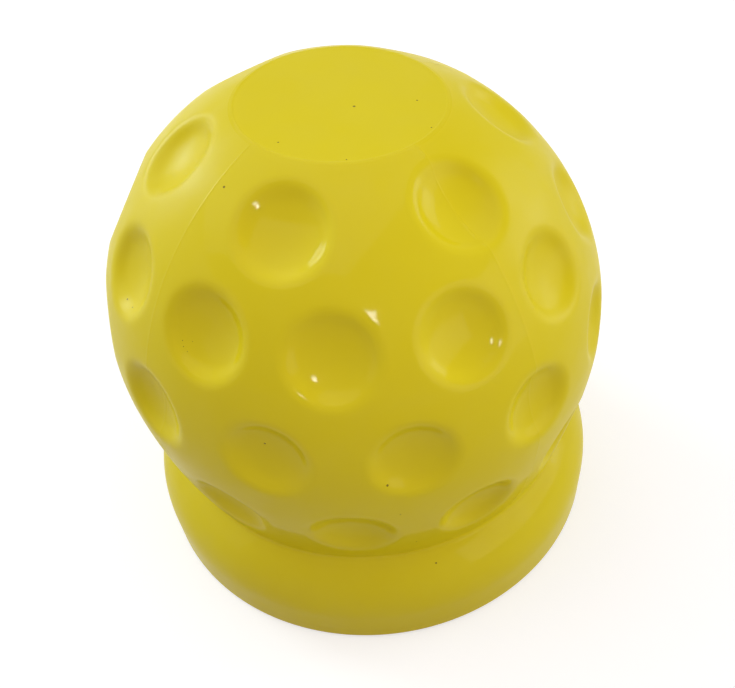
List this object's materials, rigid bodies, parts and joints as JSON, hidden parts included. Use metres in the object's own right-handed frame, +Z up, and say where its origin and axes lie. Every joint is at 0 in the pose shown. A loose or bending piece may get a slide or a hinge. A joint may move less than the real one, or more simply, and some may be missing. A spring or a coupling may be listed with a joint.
{
  "type": "tow ball cover",
  "caption": "Soft yellow cover for a tow ball: round dimpled head with a flat top, a ball-shaped hollow above a soft grip ring, and a rounded collar that opens at the rim.",
  "frame": {"origin": "centre of the rim, on the plane it stands on", "axes": "+Z up along the axis of the head and the ball, -Y the front"},
  "size_m": [0.064, 0.064, 0.0611],
  "materials": {
    "cover": "glossy soft plastic, moulded in one colour"
  },
  "bodies": {
    "root": {"cover": "cover"}
  },
  "joints": []
}
